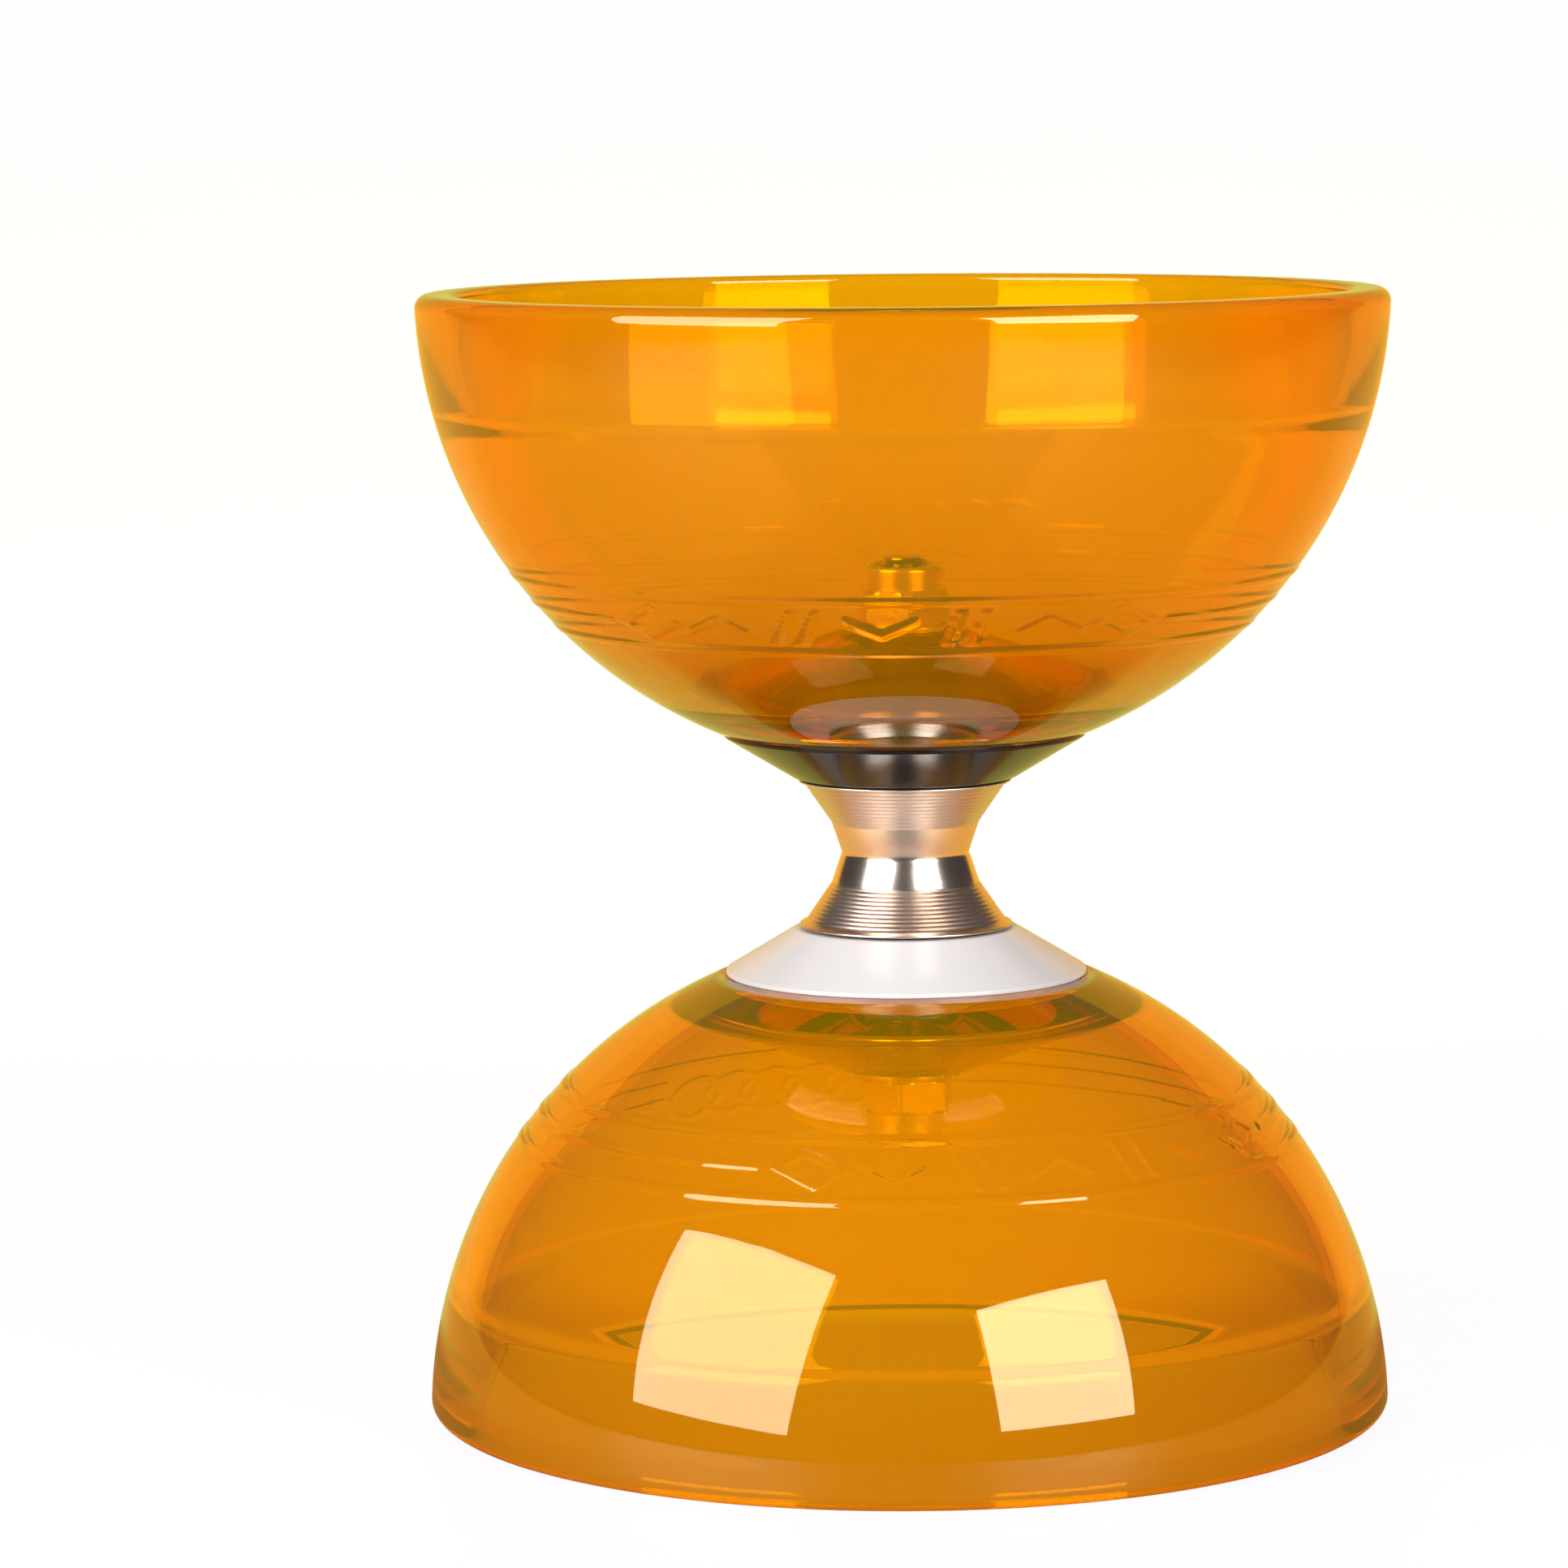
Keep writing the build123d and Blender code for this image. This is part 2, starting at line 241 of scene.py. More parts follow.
class Finish(Nodes):
    # one material: its Principled shader and the Object coordinates that its patterns read
    def __init__(self, name, constants=None):
        self.material = bpy.data.materials.new(name)
        self.material.use_nodes = True
        super().__init__(self.material.node_tree)
        self.surface = self.node("ShaderNodeBsdfPrincipled", {}, constants)
        self.output = self.node("ShaderNodeOutputMaterial", {}, {"Surface": self.surface})
        self.place = self.node("ShaderNodeTexCoord", out="Object")

    def set(self, name, value):
        self.feed(self.surface.node.inputs[name], value)

    def noise(self, scale, detail=3.0, roughness=0.55, vector=None):
        inputs = {"Vector": vector or self.place, "Scale": scale, "Detail": detail, "Roughness": roughness}
        return self.node("ShaderNodeTexNoise", {}, inputs)

    def stretched(self, scales):
        return self.node("ShaderNodeMapping", {}, {"Vector": self.place, "Scale": scales})

    def spread(self, value, low, high):
        # a 0 to 1 signal spread from low to high
        return value * (high - low) + low

    def bump(self, height, distance):
        inputs = {"Height": height, "Distance": distance, "Strength": 1.0}
        self.set("Normal", self.node("ShaderNodeBump", {}, inputs))


amber = {
    "clear": (0.98, 0.65, 0.006, 1),  # tint at the surface itself
    "deep": (0.97, 0.61, 0.003, 1),
    "shineTint": (1, 0.98, 0.66, 1),
    "transmission": 0.9,
    "absorbPerMetre": (14.0, 75.0, 500.0),  # red, green and blue lost in the plastic
    "rough": (0.015, 0.06),
    "flowScale": 38,
    "rubScales": (260, 260, 2600),
    "waves": 0.00002,  # depth of the moulding's slight unevenness, metres
}


def amberPlastic():
    # clear tinted moulding: smooth skin with faint flow marks and a few fine rubs
    constants = {"IOR": 1.5, "Specular IOR Level": 0.3, "Specular Tint": amber["shineTint"]}
    constants["Transmission Weight"] = amber["transmission"]
    finish = Finish("amber_moulding", constants)
    flow = finish.noise(amber["flowScale"], 2)
    rubs = finish.noise(1, 4, 0.6, finish.stretched(amber["rubScales"]))
    finish.set("Base Color", finish.mixColour(flow, amber["clear"], amber["deep"]))
    finish.set("Roughness", finish.spread(rubs**3.0, *amber["rough"]))
    finish.bump(flow, amber["waves"])
    most = max(amber["absorbPerMetre"])
    kept = [1 - loss / most for loss in amber["absorbPerMetre"]]
    inside = finish.node("ShaderNodeVolumeAbsorption", {}, {"Color": (*kept, 1), "Density": most})
    finish.feed(finish.output.node.inputs["Volume"], inside)
    return finish.material


def glossPlastic(name, dark, light, rough, mottleScale=90, shineScale=240, peelScale=650, peelDepth=0.000012):
    # moulded gloss plastic: faint mottling, uneven shine and a very shallow orange-peel
    finish = Finish(name, {"IOR": 1.5, "Specular IOR Level": 0.35})
    finish.set("Base Color", finish.mixColour(finish.noise(mottleScale, 4), dark, light))
    finish.set("Roughness", finish.spread(finish.noise(shineScale), *rough))
    finish.bump(finish.noise(peelScale, 2), peelDepth)
    return finish.material


def turnedSteel(name, dark, light, rough, lines=9000, depth=0.000006, stainScale=120, satin=None):
    # lathe-turned steel: fine rings across the axis, and a slow change of shine along them;
    # satin lists heights from and to which the shine turns duller, and by how much
    finish = Finish(name, {"Metallic": 1.0})
    rings = finish.noise(1, 3, 0.6, finish.stretched((12, 12, lines)))
    stain = finish.noise(stainScale)
    finish.set("Base Color", finish.mixColour(rings * 0.6 + stain * 0.4, dark, light))
    shine = finish.spread(rings * 0.5 + stain * 0.5, *rough)
    for start, end, dullness in satin or []:
        (height,) = finish.axes(finish.place, "Z")
        shine = shine + finish.smooth(height, start * mm, end * mm) * dullness
    finish.set("Roughness", shine)
    finish.bump(rings, depth)
    return finish.material


def platedSteel(name, dark, light, rough, metal=1.0, blotchScale=260, grainScale=900, grainDepth=0.000004):
    # bright plated or pressed steel: small grain and soft blotches of shine
    finish = Finish(name, {"Metallic": metal})
    blotch = finish.noise(blotchScale)
    grain = finish.noise(grainScale, 4, 0.65)
    finish.set("Base Color", finish.mixColour(blotch, dark, light))
    finish.set("Roughness", finish.spread(grain * 0.4 + blotch * 0.6, *rough))
    finish.bump(grain, grainDepth)
    return finish.material


def nylonPlastic(name, dark, light, rough=(0.35, 0.5), cloudScale=500, grainScale=2400, grainDepth=0.000006):
    # milky nylon: satin, with a little light let in below the surface
    letIn = {"Subsurface Weight": 0.25, "Subsurface Radius": (0.001, 0.0009, 0.0007)}
    finish = Finish(name, {"IOR": 1.53, **letIn})
    cloud = finish.noise(cloudScale)
    finish.set("Base Color", finish.mixColour(cloud, dark, light))
    finish.set("Roughness", finish.spread(cloud, *rough))
    finish.bump(finish.noise(grainScale), grainDepth)
    return finish.material


hubSatin = [
    (hubMiddle, hubMiddle + 0.4, 0.17),  # the upper half was left satin
    (hubMiddle - 3.8, hubMiddle - 4.1, 0.1),  # and the lower outer cone a little less bright
]
looks = {
    "amber_cup": amberPlastic(),
    "black_cone": glossPlastic(
        "black_moulding", (0.006, 0.006, 0.007, 1), (0.012, 0.011, 0.012, 1), (0.1, 0.2)
    ),
    "white_cone": glossPlastic(
        "white_moulding", (0.45, 0.44, 0.44, 1), (0.49, 0.48, 0.48, 1), (0.12, 0.22)
    ),
    # the hub's warm copper tone is painted: it stands in for the orange bowls reflected in the steel, and
    # sits over the turned rings and stains
    "hub_steel": turnedSteel(
        "turned_steel_painted_orange_reflection", (0.66, 0.54, 0.46, 1), (0.86, 0.73, 0.63, 1), (0.12, 0.26), satin=hubSatin
    ),
    "zinc_steel": platedSteel(
        "bright_plating", (0.92, 0.9, 0.84, 1), (0.99, 0.97, 0.93, 1), (0.2, 0.32), metal=0.5
    ),
    "axle_steel": platedSteel("axle_plating", (0.50, 0.50, 0.48, 1), (0.62, 0.61, 0.59, 1), (0.2, 0.34)),
    "bearing_steel": turnedSteel(
        "ground_steel", (0.62, 0.62, 0.62, 1), (0.72, 0.72, 0.73, 1), (0.06, 0.14), 14000, 0.000002
    ),
    "shield_steel": platedSteel("pressed_shield", (0.48, 0.48, 0.48, 1), (0.58, 0.58, 0.58, 1), (0.25, 0.4)),
    "nylon": nylonPlastic("natural_nylon", (0.62, 0.63, 0.58, 1), (0.72, 0.72, 0.68, 1)),
    "cage_plastic": nylonPlastic("cage_nylon", (0.22, 0.20, 0.16, 1), (0.28, 0.26, 0.21, 1)),
}
print("materials made:", len(looks))

bowl = {
    "radius": 63.0,
    "neckRadius": 24.0,
    "wall": 3.4,
    "boreDepth": 16.0,  # straight bore inside the rim, down to a narrow ledge
    "ledge": 0.86,
    "ledgeSlope": (-0.4, 1.4),  # the ledge's inner and outer ends, eased off its level
    "ledgeBend": 0.9,
    "outerEdge": 1.7,
    "innerEdge": 0.8,
    "seatRadius": 8.0,
    "axleHole": 3.265,
    "gutterRise": 5.85,  # above the neck
    "gutterWidth": 1.4,
    "gutterDepth": 0.6,
    "dishFlatRadius": 7.5,
    "dishLip": 1.0,
    "turns": {"upper": -94.5, "lower": -68.0},  # where the raised pattern's middle faces, degrees
}
bowlCentre = neck + math.sqrt(bowl["radius"] ** 2 - bowl["neckRadius"] ** 2)
insideRadius = bowl["radius"] - bowl["wall"]

# the coned floor, the gutter round it and the dished back under it
gutterFloor = neck + bowl["gutterRise"]
gutterOuter = math.sqrt(insideRadius**2 - (bowlCentre - gutterFloor) ** 2)
gutterInner = gutterOuter - bowl["gutterWidth"]
floorFoot = gutterFloor + bowl["gutterDepth"]
floorSlope = (seat - floorFoot) / (gutterInner - bowl["seatRadius"])
dishRadius = bowl["neckRadius"] - bowl["dishLip"]
dishEdge = dishTop - (dishRadius - bowl["dishFlatRadius"]) * floorSlope

relief = {
    "ridges": (14.4, 21.1),  # above the neck
    "ridgeHalf": 0.42,
    "reach": (12.2, 26.5),  # the pattern's lowest and highest parts, above the neck
    "stand": 0.13,
    "soft": 0.25,
    "strokeHalf": 0.42,
    "tiles": ("lozenge", "up", "bars", "down", "bars", "up", "lozenge"),
    "tileWidth": 10.6,
    "tileHeight": 4.9,
    "figureShare": 0.8,  # of the tile's width
    "chevronShare": 0.9,  # of the figure's width
    "barGap": 3.2,
    "barSlant": 0.35,
    "ringRadius": 4.3,
    "ringClear": 1.2,  # the ridges stop this far short of the rings
    "ringStep": 6.4,
    "ringCount": 5,
    "frontGap": 1.5,  # from the tiles to the middle line, and from the rings at the back
    "backGap": 4.0,
    "frontSpan": 50,  # degrees each side of the tiles' middle and of the rings' middle
    "backSpan": 24,
    "steps": (0.5, 1.5),  # degrees between the mesh's columns, over the pattern and beside it
}


def stroke(distance, half):
    # 1 within half of a line, falling to 0 over the soft edge by 3t^2 - 2t^3
    share = np.clip((half + relief["soft"] - np.abs(distance)) / relief["soft"], 0, 1)
    return share * share * (3 - 2 * share)


def tileDistance(kind, u, v):
    # distance in a tile's own plane to its figure: a lozenge, a chevron up or down, or two slanted bars
    half, tall = relief["figureShare"] * relief["tileWidth"] / 2, relief["tileHeight"] / 2
    slope = math.hypot(half, tall)
    if kind == "lozenge":
        return np.abs(np.abs(u) * tall + np.abs(v) * half - half * tall) / slope
    if kind in ("up", "down"):
        way = 1 if kind == "up" else -1
        edge = np.abs(u) - relief["chevronShare"] * half
        return np.maximum(np.abs(way * v * half + np.abs(u) * tall - 0.5 * half * tall) / slope, edge)
    slant = relief["barSlant"]
    bars = [np.abs(u - slant * v + shift * relief["barGap"] / 2) for shift in (-1, 1)]
    return np.maximum(np.minimum(*bars) / math.hypot(1, slant), np.abs(v) - tall)


def raised(height, turn):
    # lift of the bowl's outside in millimetres, from the height and the angle away from the pattern's middle:
    # the greatest of the strokes round each figure, each ring and each ridge
    radius = bowl["radius"]
    pole = np.arccos(np.clip((bowlCentre - height) / radius, -1, 1))
    along = radius * pole  # arc length up the bowl
    around = radius * np.sin(pole) * turn
    back = radius * np.sin(pole) * (np.mod(turn, 2 * np.pi) - np.pi)
    tracks = [radius * math.acos((bowlCentre - neck - rise) / radius) for rise in relief["ridges"]]
    level = along - sum(tracks) / 2
    lift = np.zeros_like(height)
    tiles = relief["tiles"]
    for i, kind in enumerate(tiles):
        u = around - (i - (len(tiles) - 1) / 2) * relief["tileWidth"]
        lift = np.maximum(lift, stroke(tileDistance(kind, u, level), relief["strokeHalf"]))
    inRings = np.zeros_like(height)
    for i in range(relief["ringCount"]):
        u = back - (i - (relief["ringCount"] - 1) / 2) * relief["ringStep"]
        away = np.hypot(u, along - tracks[1])
        inRings = np.maximum(inRings, away < relief["ringRadius"] + relief["ringClear"])
        lift = np.maximum(lift, stroke(away - relief["ringRadius"], relief["strokeHalf"]))
    for track in tracks:
        lift = np.maximum(lift, stroke(along - track, relief["ridgeHalf"]) * (1 - inRings))
    frontReach = len(tiles) / 2 * relief["tileWidth"] + relief["frontGap"]
    backReach = relief["ringCount"] / 2 * relief["ringStep"] + relief["backGap"]
    gap = np.maximum(frontReach - np.abs(around), backReach - np.abs(back))
    middleLine = np.hypot(level, np.maximum(gap, 0))
    lift = np.maximum(lift, stroke(middleLine, relief["strokeHalf"]))
    return lift * relief["stand"]


def patternTurns(turn):
    # angles round the bowl, close together over the pattern in front and behind, and wider between
    front, back = math.radians(relief["frontSpan"]), math.radians(relief["backSpan"])
    fine, coarse = np.radians(relief["steps"])
    stretches = (
        (-front, front, fine),
        (front, math.pi - back, coarse),
        (math.pi - back, math.pi + back, fine),
        (math.pi + back, 2 * math.pi - front, coarse),
    )
    parts = []
    for low, high, step in stretches:
        parts.append(np.linspace(low, high, round((high - low) / step), endpoint=False))
    return np.concatenate(parts) + turn


def slopeAngle(height, radius):
    # angle of a point of the bowl's sphere, in degrees up from the rim's plane
    return math.degrees(math.asin((height - bowlCentre) / radius))


def bowlOutline():
    # closed outline: dished back, axle hole, floor, gutter, inside sphere, ledge, bore, lip, outside sphere
    radius = bowl["radius"]
    floor = rounded(
        [
            (dishRadius, neck, 0.2),
            (dishRadius, dishEdge, 0.5),
            (bowl["dishFlatRadius"], dishTop, 0.5),
            (bowl["axleHole"], dishTop, 0.2),
            (bowl["axleHole"], seat, 0.2),
            (bowl["seatRadius"], seat, 0.5),
            (gutterInner, floorFoot, 0.2),
            (gutterInner, gutterFloor, 0.2),
            (gutterOuter, gutterFloor),
        ],
        closed=False,
    )
    ledgeHeight = rim - bowl["boreDepth"]
    ledgeRadius = math.sqrt(insideRadius**2 - (bowlCentre - ledgeHeight) ** 2)
    boreRadius = ledgeRadius + bowl["ledge"]
    ends = slopeAngle(gutterFloor, insideRadius), slopeAngle(ledgeHeight, insideRadius)
    inside = arc((0, bowlCentre), insideRadius, *ends, 44)[1:]
    easeIn, easeOut = bowl["ledgeSlope"]
    ledge = rounded(
        [
            inside[-2],
            (ledgeRadius - 0.06, ledgeHeight + easeIn, bowl["ledgeBend"]),
            (boreRadius, ledgeHeight + easeOut, bowl["ledgeBend"]),
            (boreRadius, rim - 2, 0.1),
        ],
        closed=False,
    )[1:-1]
    edge = bowl["innerEdge"]
    support = [[boreRadius, rim - edge - 0.08]]  # keeps the bore's shading straight up to the lip
    innerLip = np.vstack([support, arc((boreRadius + edge, rim - edge), edge, 180, 90, 6)])
    edge = bowl["outerEdge"]
    lipRadius = math.sqrt((radius - edge) ** 2 - (bowlCentre - rim + edge) ** 2)
    lipAngle = slopeAngle(rim - edge, radius - edge)
    outerLip = arc((lipRadius, rim - edge), edge, 90, lipAngle, 9)
    low, high = (slopeAngle(neck + rise, radius) for rise in relief["reach"])
    outside = [
        arc((0, bowlCentre), radius, lipAngle, high, 34)[1:],
        arc((0, bowlCentre), radius, high, low, 62)[1:],
        arc((0, bowlCentre), radius, low, slopeAngle(neck, radius), 14)[1:],
    ]
    return np.vstack([floor[1:-1], inside[:-1], ledge, innerLip, outerLip, *outside])


def makeBowl(name, side):
    turn = math.radians(bowl["turns"][name])

    def lifted(radius, height, angle):
        # points of the outside sphere move away from its centre by the pattern's lift
        away = np.hypot(radius, height - bowlCentre)
        onOutside = (np.abs(away - bowl["radius"]) < 1e-6) & (height > neck + 1) & (height < rim - 3)
        lift = np.where(onOutside, raised(height, np.mod(angle - turn + np.pi, 2 * np.pi) - np.pi), 0)
        return radius * (1 + lift / away), height + (height - bowlCentre) * lift / away

    shape = spun(bowlOutline(), patternTurns(turn), side, lifted)
    return addPiece(f"{name}_bowl_moulding", shape, "spool", "amber_cup", f"{name}_cup")


for name, side in sides.items():
    print(name, "bowl:", len(makeBowl(name, side).data.polygons), "faces")

cone = {
    "smallRadius": 14.5,
    "hubGap": 0.3,
    "flange": 0.5,
    "step": 0.4,
    "bossRadius": 4.4,
    "plugGap": 0.15,
    "edge": 0.4,
    "steps": 192,
    "slots": {"upper": "black_cone", "lower": "white_cone"},
}


def makeCone(name, side):
    # hub boss, small face, cone, flange, then the plug and the boss that reach into the bowl's dished back
    face = hubEnd + cone["hubGap"]
    flangeRadius = bowl["neckRadius"] - cone["step"]
    plugRadius, plugTop = dishRadius - cone["plugGap"], dishEdge - cone["plugGap"]
    plugBoss = bowl["dishFlatRadius"] - cone["plugGap"]
    outline = rounded(
        [
            (bowl["axleHole"], coneFoot, 0.15),
            (cone["bossRadius"], coneFoot, 0.15),
            (cone["bossRadius"], face, 0.15),
            (cone["smallRadius"], face, cone["edge"]),
            (flangeRadius, neck - cone["flange"], 0.25),
            (flangeRadius, neck, 0.1),
            (plugRadius, neck, 0.1),
            (plugRadius, plugTop, 0.3),
            (plugBoss, plugTop, 0.3),
            (plugBoss, dishTop, 0.2),
            (bowl["axleHole"], dishTop, 0.15),
        ],
        arcSteps=6,
    )
    shape = spun(outline, evenTurns(cone["steps"]), side)
    addPiece(f"{name}_cone_moulding", shape, "spool", cone["slots"][name], f"{name}_cone_washer")


washer = {"hole": 3.35, "edge": 0.2, "steps": 128}


def makeWasher(name, side):
    radius = reach(f"{name}_flat_washer")
    corners = [(washer["hole"], seat), (radius, seat), (radius, nutFoot), (washer["hole"], nutFoot)]
    shape = spun(rounded(corners, washer["edge"]), evenTurns(washer["steps"]), side)
    addPiece(f"{name}_washer_disc", shape, "spool", "zinc_steel", f"{name}_flat_washer")


nut = {
    "flat": 11.1 / 2,
    "hexHeight": 4.5,
    "collarRadius": 5.35,
    "collarRound": 1.0,
    "mouthRadius": 4.1,
    "mouthDepth": 0.75,
    "hole": 3.19,
    "edgeSharpness": 60,
    "ringRadius": 4.58,
    "steps": 240,
    "ringSteps": 96,
    "turns": {"upper": 36.6, "lower": 21.0},
}


def makeNut(name, side):
    # the corners' radius is turned on a cone at both ends, then the six flats are cut
    slant = math.radians(30)
    corner = nut["flat"] / math.cos(slant)
    drop = (corner - nut["flat"]) * math.tan(slant)
    hexTop = nutFoot + nut["hexHeight"]
    mouthFoot = nutTop - nut["mouthDepth"]
    outline = rounded(
        [
            (nut["hole"], nutFoot, 0.5),
            (nut["flat"], nutFoot, 0.1),
            (corner + 0.05, nutFoot + drop, 0.1),
            (corner + 0.05, hexTop - drop, 0.1),
            (nut["flat"] - 0.02, hexTop, 0.1),
            (nut["collarRadius"], hexTop + 0.1, 0.1),
            (nut["collarRadius"], nutTop, nut["collarRound"]),
            (nut["mouthRadius"], nutTop, 0.25),
            (nut["mouthRadius"], mouthFoot, 0.1),
            (nut["hole"], mouthFoot - 0.05, 0.1),
        ],
        arcSteps=6,
    )
    turn = math.radians(nut["turns"][name])

    def hexed(radius, height, angle):
        # the six flats joined by a p-norm, flat / (sum of cos^p)^(1/p), which rounds their corners a little
        power = nut["edgeSharpness"]
        facing = [np.clip(np.cos(angle - turn - math.radians(30 + 60 * k)), 0, 1) ** power for k in range(6)]
        limit = nut["flat"] / sum(facing) ** (1 / power)
        return np.minimum(radius, limit), height

    shape = spun(outline, evenTurns(nut["steps"]) + turn, side, hexed)
    addPiece(f"{name}_nut_body", shape, "spool", "zinc_steel", f"{name}_lock_nut", crease=28)


def makeNylonRing(name, side):
    low, high = span(f"{name}_nut_insert")
    hole, radius = nut["hole"], nut["ringRadius"]
    outline = rounded([(hole, low), (radius, low), (radius, high), (hole, high, 0.5)], bend=0.15)
    shape = spun(outline, evenTurns(nut["ringSteps"]), side)
    addPiece(f"{name}_nylon_ring", shape, "spool", "nylon", f"{name}_nut_insert")


for name, side in sides.items():
    makeCone(name, side)
    makeWasher(name, side)
    makeNut(name, side)
    makeNylonRing(name, side)
print("cones, washers and nuts made")

axle = {
    "radius": 3.165,
    "trackRadius": 4.0,
    "pitch": 1.27,
    "threadDepth": 0.62,
    "threadLength": 11.5,
    "stepsPerTurn": 14,
    "nose": 0.7,
    "steps": 72,
}


def makeAxle():
    # hardened track in the middle, plain shanks, and a thread and a cone nose at both ends
    radius, track = axle["radius"], axle["trackRadius"]
    shoulder = span("upper_bearing_inner_ring")[0]
    threadFoot = axleEnd - axle["threadLength"]
    rows = round(axle["threadLength"] / axle["pitch"] * axle["stepsPerTurn"])
    half = np.vstack(
        [
            [[track, 0], [track, shoulder - 0.2], [track - 0.2, shoulder], [radius, shoulder + 0.001]],
            line((radius, shoulder + 0.3), (radius, threadFoot - 0.1), 8),
            line((radius, threadFoot), (radius, axleEnd - 0.01), rows),
            [[0.3, axleEnd]],
        ]
    )
    outline = np.vstack([half[::-1] * [1, -1], half[1:]])

    def threaded(grid, height, angle):
        # V thread: the radius falls by a triangle wave of (height / pitch - turn), faded in over half a turn,
        # and by the height past the foot of the nose
        phase = np.mod(np.abs(height) / axle["pitch"] - np.sign(height) * angle / (2 * np.pi), 1)
        groove = np.clip(1.25 - 2.5 * np.abs(phase - 0.5), 0, 1) * axle["threadDepth"]
        fade = np.clip((np.abs(height) - threadFoot) / (axle["pitch"] / 2), 0, 1)
        plain = np.abs(grid - radius) < 1e-6
        cut = np.where(plain, grid - groove * fade, grid)
        nose = radius - np.clip(np.abs(height) - (axleEnd - axle["nose"]), 0, axle["nose"])
        return np.where(plain, np.minimum(cut, nose), cut), height

    shape = spun(outline, evenTurns(axle["steps"]), 1, threaded, closed=False)
    addPiece("axle_threaded_shaft", shape, "spool", "axle_steel", "axle_shaft", crease=40)


makeAxle()
print("axle made")

hub = {
    "waist": 8.3,
    "waistRound": 0.9,
    "breakRadius": 9.6,
    "breakHeight": 3.85,
    "coneRadius": 13.1,
    "lipRadius": 13.9,
    "lipHeight": 0.6,
    "bearingBore": 7.95,
    "clutchBore": 6.0,
    "mouthChamfer": 0.4,
    "groovePitch": 0.5,
    "grooveDepth": 0.034,
    "stepsPerGroove": 10,
    "steps": 224,
}


def makeHub():
    # half the outline runs from the waist over the break, the outer cone and the lip into the bore
    waist, breakRadius, breakHeight = hub["waist"], hub["breakRadius"], hub["breakHeight"]
    bore, chamfer = hub["bearingBore"], hub["mouthChamfer"]
    shoulder = span("upper_bearing_outer_ring")[0]
    waistEdge = breakRadius - (breakRadius - waist) * (1 - hub["waistRound"] / breakHeight)
    lipFoot = hubEnd - hub["lipHeight"]
    steps = round((lipFoot - breakHeight) / hub["groovePitch"] * hub["stepsPerGroove"])
    inner = [(waist, 0), (waistEdge, hub["waistRound"], 0.5), (breakRadius, breakHeight)]
    mouth = [
        (hub["coneRadius"], lipFoot),
        (hub["lipRadius"], hubEnd - 0.25, 0.2),
        (hub["lipRadius"], hubEnd, 0.12),
        (bore + chamfer, hubEnd, 0.15),
        (bore, hubEnd - chamfer, 0.15),
        (bore, shoulder, 0.1),
        (hub["clutchBore"], shoulder, 0.1),
        (hub["clutchBore"], 0),
    ]
    half = np.vstack(
        [
            rounded(inner, closed=False),
            line((breakRadius, breakHeight + 0.05), (hub["coneRadius"], lipFoot), steps),
            rounded(mouth, closed=False)[1:],
        ]
    )
    outline = np.vstack([half[:-1], (half * [1, -1])[::-1][:-1]])

    def grooved(radius, height, angle):
        # lathe rings: the outer cones' radius falls by depth * (1 - cos(2 pi h / pitch)) / 2
        away = np.abs(height)
        on = (away > breakHeight + 0.1) & (away < lipFoot - 0.1) & (radius > breakRadius)
        wave = (1 - np.cos(2 * np.pi * away / hub["groovePitch"])) / 2
        return radius - np.where(on, wave * hub["grooveDepth"], 0), height

    shape = spun(outline, evenTurns(hub["steps"]), 1, grooved)
    return addPiece("hub_turned_body", shape, "hub", "hub_steel", "hub_spool")


print("hub:", len(makeHub().data.polygons), "faces")

# the nodes that are kept as they came get their finish too
slotOf = {part["node"]: part["material_slot"] for part in frame["record"]["subparts"]}
for name, node in frame["nodes"].items():
    if node.material_slots:
        for held in node.material_slots:
            held.material = looks[slotOf[name]]
    else:
        node.data.materials.append(looks[slotOf[name]])

view = {"away": 0.7724, "left": 0.0158, "up": 0.1741, "down": 6.79, "roll": -0.52, "lens": 136.8}


def makeCamera():
    data = bpy.data.cameras.new("view")
    data.lens = view["lens"]
    data.sensor_width = 36
    data.clip_end = 50
    camera = bpy.data.objects.new("view", data)
    scene.collection.objects.link(camera)
    camera.matrix_world = (
        Matrix.Translation((-view["left"], -view["away"], view["up"]))
        @ Matrix.Rotation(math.radians(90 - view["down"]), 4, "X")
        @ Matrix.Rotation(math.radians(view["roll"]), 4, "Z")
    )
    scene.camera = camera


sheet = {
    "front": -2.2,
    "back": 2.6,
    "bend": 1.2,
    "wall": 2.5,
    "width": 7.0,
    "dark": (0.25, 0.25, 0.25, 1),
    "light": (0.28, 0.28, 0.28, 1),
    "near": (0.04, 0.04, 0.04, 1),  # in front of the toy and round it the sheet throws little back
    "nearFrom": (0.2, 0.6),
    "rough": (0.55, 0.65),
    "lift": (0.9, 0.91, 0.94, 1),  # brings the sheet up to paper white where it is seen directly
    "glow": (0.7, 0.6, 0.1, 1),  # the sheet glows here with painted light of its own, starting just past the toy, and lights the toy from behind
    # painted orange glow under the toy and at the patch's sides, which lights the bowls from below and beside
    "underGlow": (0.4, 0.15, 0.01, 1),
    "underTo": (0.045, 0.075),
    "sideGlow": (1.0, 0.5, 0.04, 1),
    "glowFrom": (-0.086, -0.062),
    "glowHalf": 0.12,
    "glowSpread": 0.16,  # the patch widens by this much per metre on each side
    "sideFrom": (0.95, 0.6),  # in half widths of the patch, as is the next
    "sideTo": (7.0, 4.0),
}


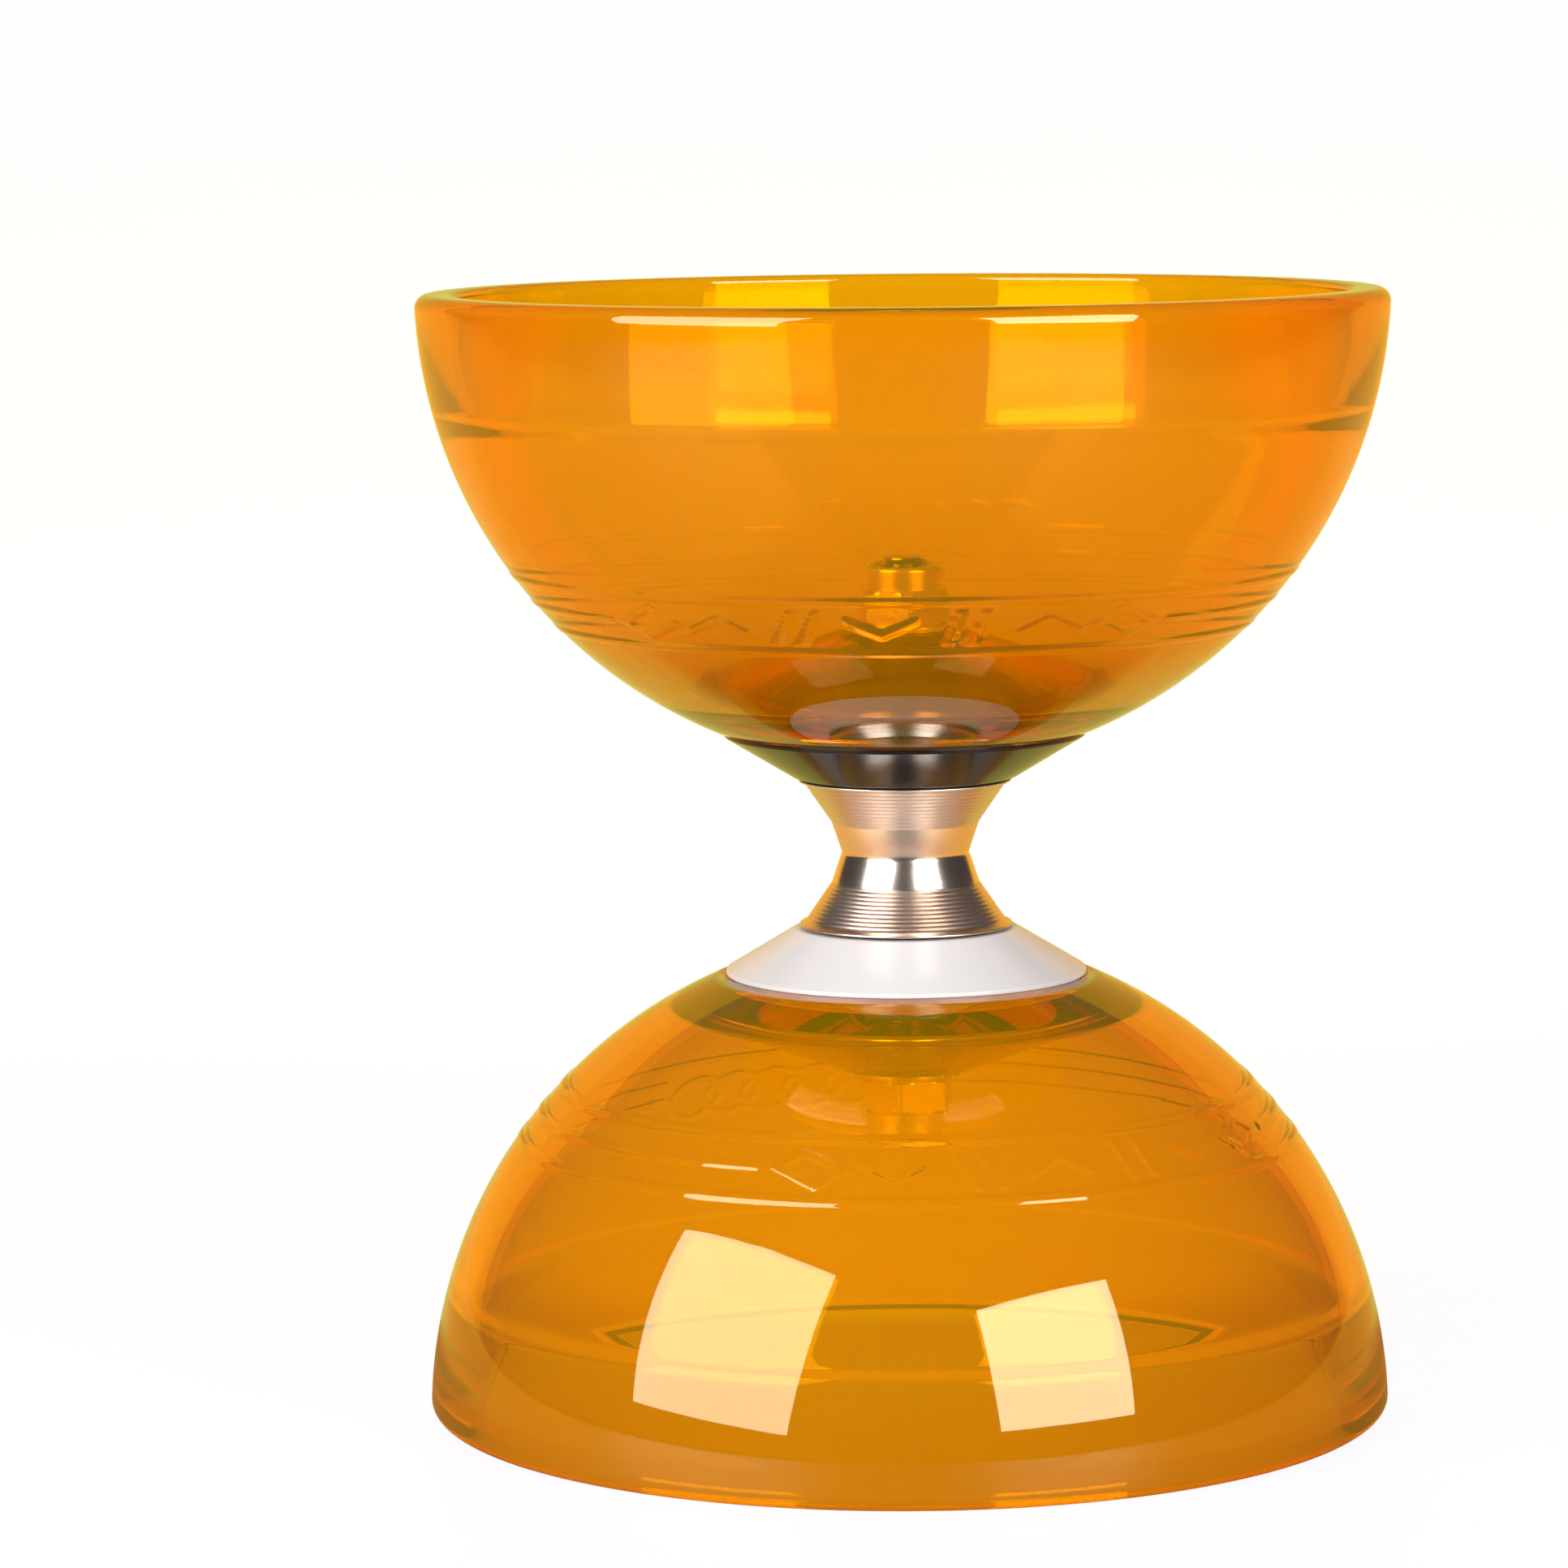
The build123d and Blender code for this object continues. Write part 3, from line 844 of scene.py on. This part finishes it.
def floorFinish():
    finish = Finish("pale_floor", {"Emission Strength": 1.0})
    x, y = finish.axes(finish.place, "XY")
    pale = finish.mixColour(finish.noise(3, 2), sheet["dark"], sheet["light"])
    finish.set("Base Color", finish.mixColour(finish.smooth(y, *sheet["nearFrom"]), sheet["near"], pale))
    finish.set("Roughness", finish.spread(finish.noise(5, 2), *sheet["rough"]))
    # the glow is painted light: seen only by bounced rays, the sheet emits yellow behind the toy and orange
    # under and beside it
    aside = abs(x) / (y * sheet["glowSpread"] + sheet["glowHalf"])
    middle = finish.mixColour(finish.smooth(y, *sheet["underTo"]), sheet["underGlow"], sheet["glow"])
    warm = finish.mixColour(finish.smooth(aside, *sheet["sideFrom"]), sheet["sideGlow"], middle)
    share = finish.smooth(y + abs(x), *sheet["glowFrom"]) * finish.smooth(aside, *sheet["sideTo"])
    glow = finish.mixColour(share, (0, 0, 0, 1), warm)
    seen = finish.node("ShaderNodeLightPath", out="Is Camera Ray")
    finish.set("Emission Color", finish.mixColour(seen, glow, sheet["lift"]))
    return finish.material


def makeFloor():
    # a pale sheet that glows with painted light near the toy: flat under the toy, then swept up behind it by
    # a quarter circle
    foot, bend = sheet["back"], sheet["bend"]
    profile = np.vstack(
        [
            line((sheet["front"], 0), (foot, 0), 12),
            arc((foot, bend), bend, -90, 0, 24)[1:],
            line((foot + bend, bend), (foot + bend, sheet["wall"]), 4)[1:],
        ]
    )
    across = np.linspace(-sheet["width"] / 2, sheet["width"] / 2, 9)
    x, y = np.meshgrid(across, profile[:, 0])
    height = np.repeat(profile[:, 1:], len(across), 1)
    grid = np.stack([x, y, height], 2)
    quads = gridQuads(np.arange(x.size).reshape(x.shape))
    mesh = bpy.data.meshes.new("floor_sheet")
    mesh.from_pydata(grid.reshape(-1, 3).tolist(), [], quads.tolist())
    mesh.shade_smooth()
    mesh.materials.append(floorFinish())
    floor = bpy.data.objects.new("floor_sheet", mesh)
    scene.collection.objects.link(floor)


softboxes = {
    # azimuth to the right of the view and elevation in degrees, distance, width and height, turn and power
    "left": {
        "azimuth": -49, "elevation": 23.8, "away": 0.8, "width": 0.6, "height": 0.55, "turn": 6, "power": 11
    },
    "right": {
        "azimuth": 35.3, "elevation": 19.5, "away": 0.8, "width": 0.47, "height": 0.41, "turn": 3, "power": 8
    },
}


def makeLights():
    target = Vector((0, 0, 0.02))
    for name, box in softboxes.items():
        data = bpy.data.lights.new(f"softbox_{name}", "AREA")
        data.shape = "RECTANGLE"
        data.size, data.size_y = box["width"], box["height"]
        data.energy = box["power"]
        a, e = math.radians(box["azimuth"]), math.radians(box["elevation"])
        way = Vector((math.sin(a) * math.cos(e), -math.cos(a) * math.cos(e), math.sin(e)))
        lamp = bpy.data.objects.new(f"softbox_{name}", data)
        scene.collection.objects.link(lamp)
        lamp.location = target + way * box["away"]
        aim = way.to_track_quat("Z", "Y").to_matrix() @ Matrix.Rotation(math.radians(box["turn"]), 3, "Y")
        lamp.rotation_euler = aim.to_euler()


room = {"behind": 0.3, "front": 0.06, "dimFrom": 1.0, "dimTo": 0.7}


def makeRoom():
    # bright all round the backdrop, falling off to a dim room on the near side
    world = bpy.data.worlds.new("studio_room")
    scene.world = world
    world.use_nodes = True
    nodes = Nodes(world.node_tree)
    (y,) = nodes.axes(nodes.node("ShaderNodeTexCoord", out="Generated"), "Y")
    strength = nodes.smooth(y, room["dimTo"], room["dimFrom"], room["front"], room["behind"])
    background = nodes.node("ShaderNodeBackground", {}, {"Color": (1, 1, 1, 1), "Strength": strength})
    nodes.node("ShaderNodeOutputWorld", {}, {"Surface": background})


makeCamera()
makeFloor()
makeLights()
makeRoom()
scene.view_settings.view_transform = "Standard"
scene.view_settings.look = "None"
print("stage set")
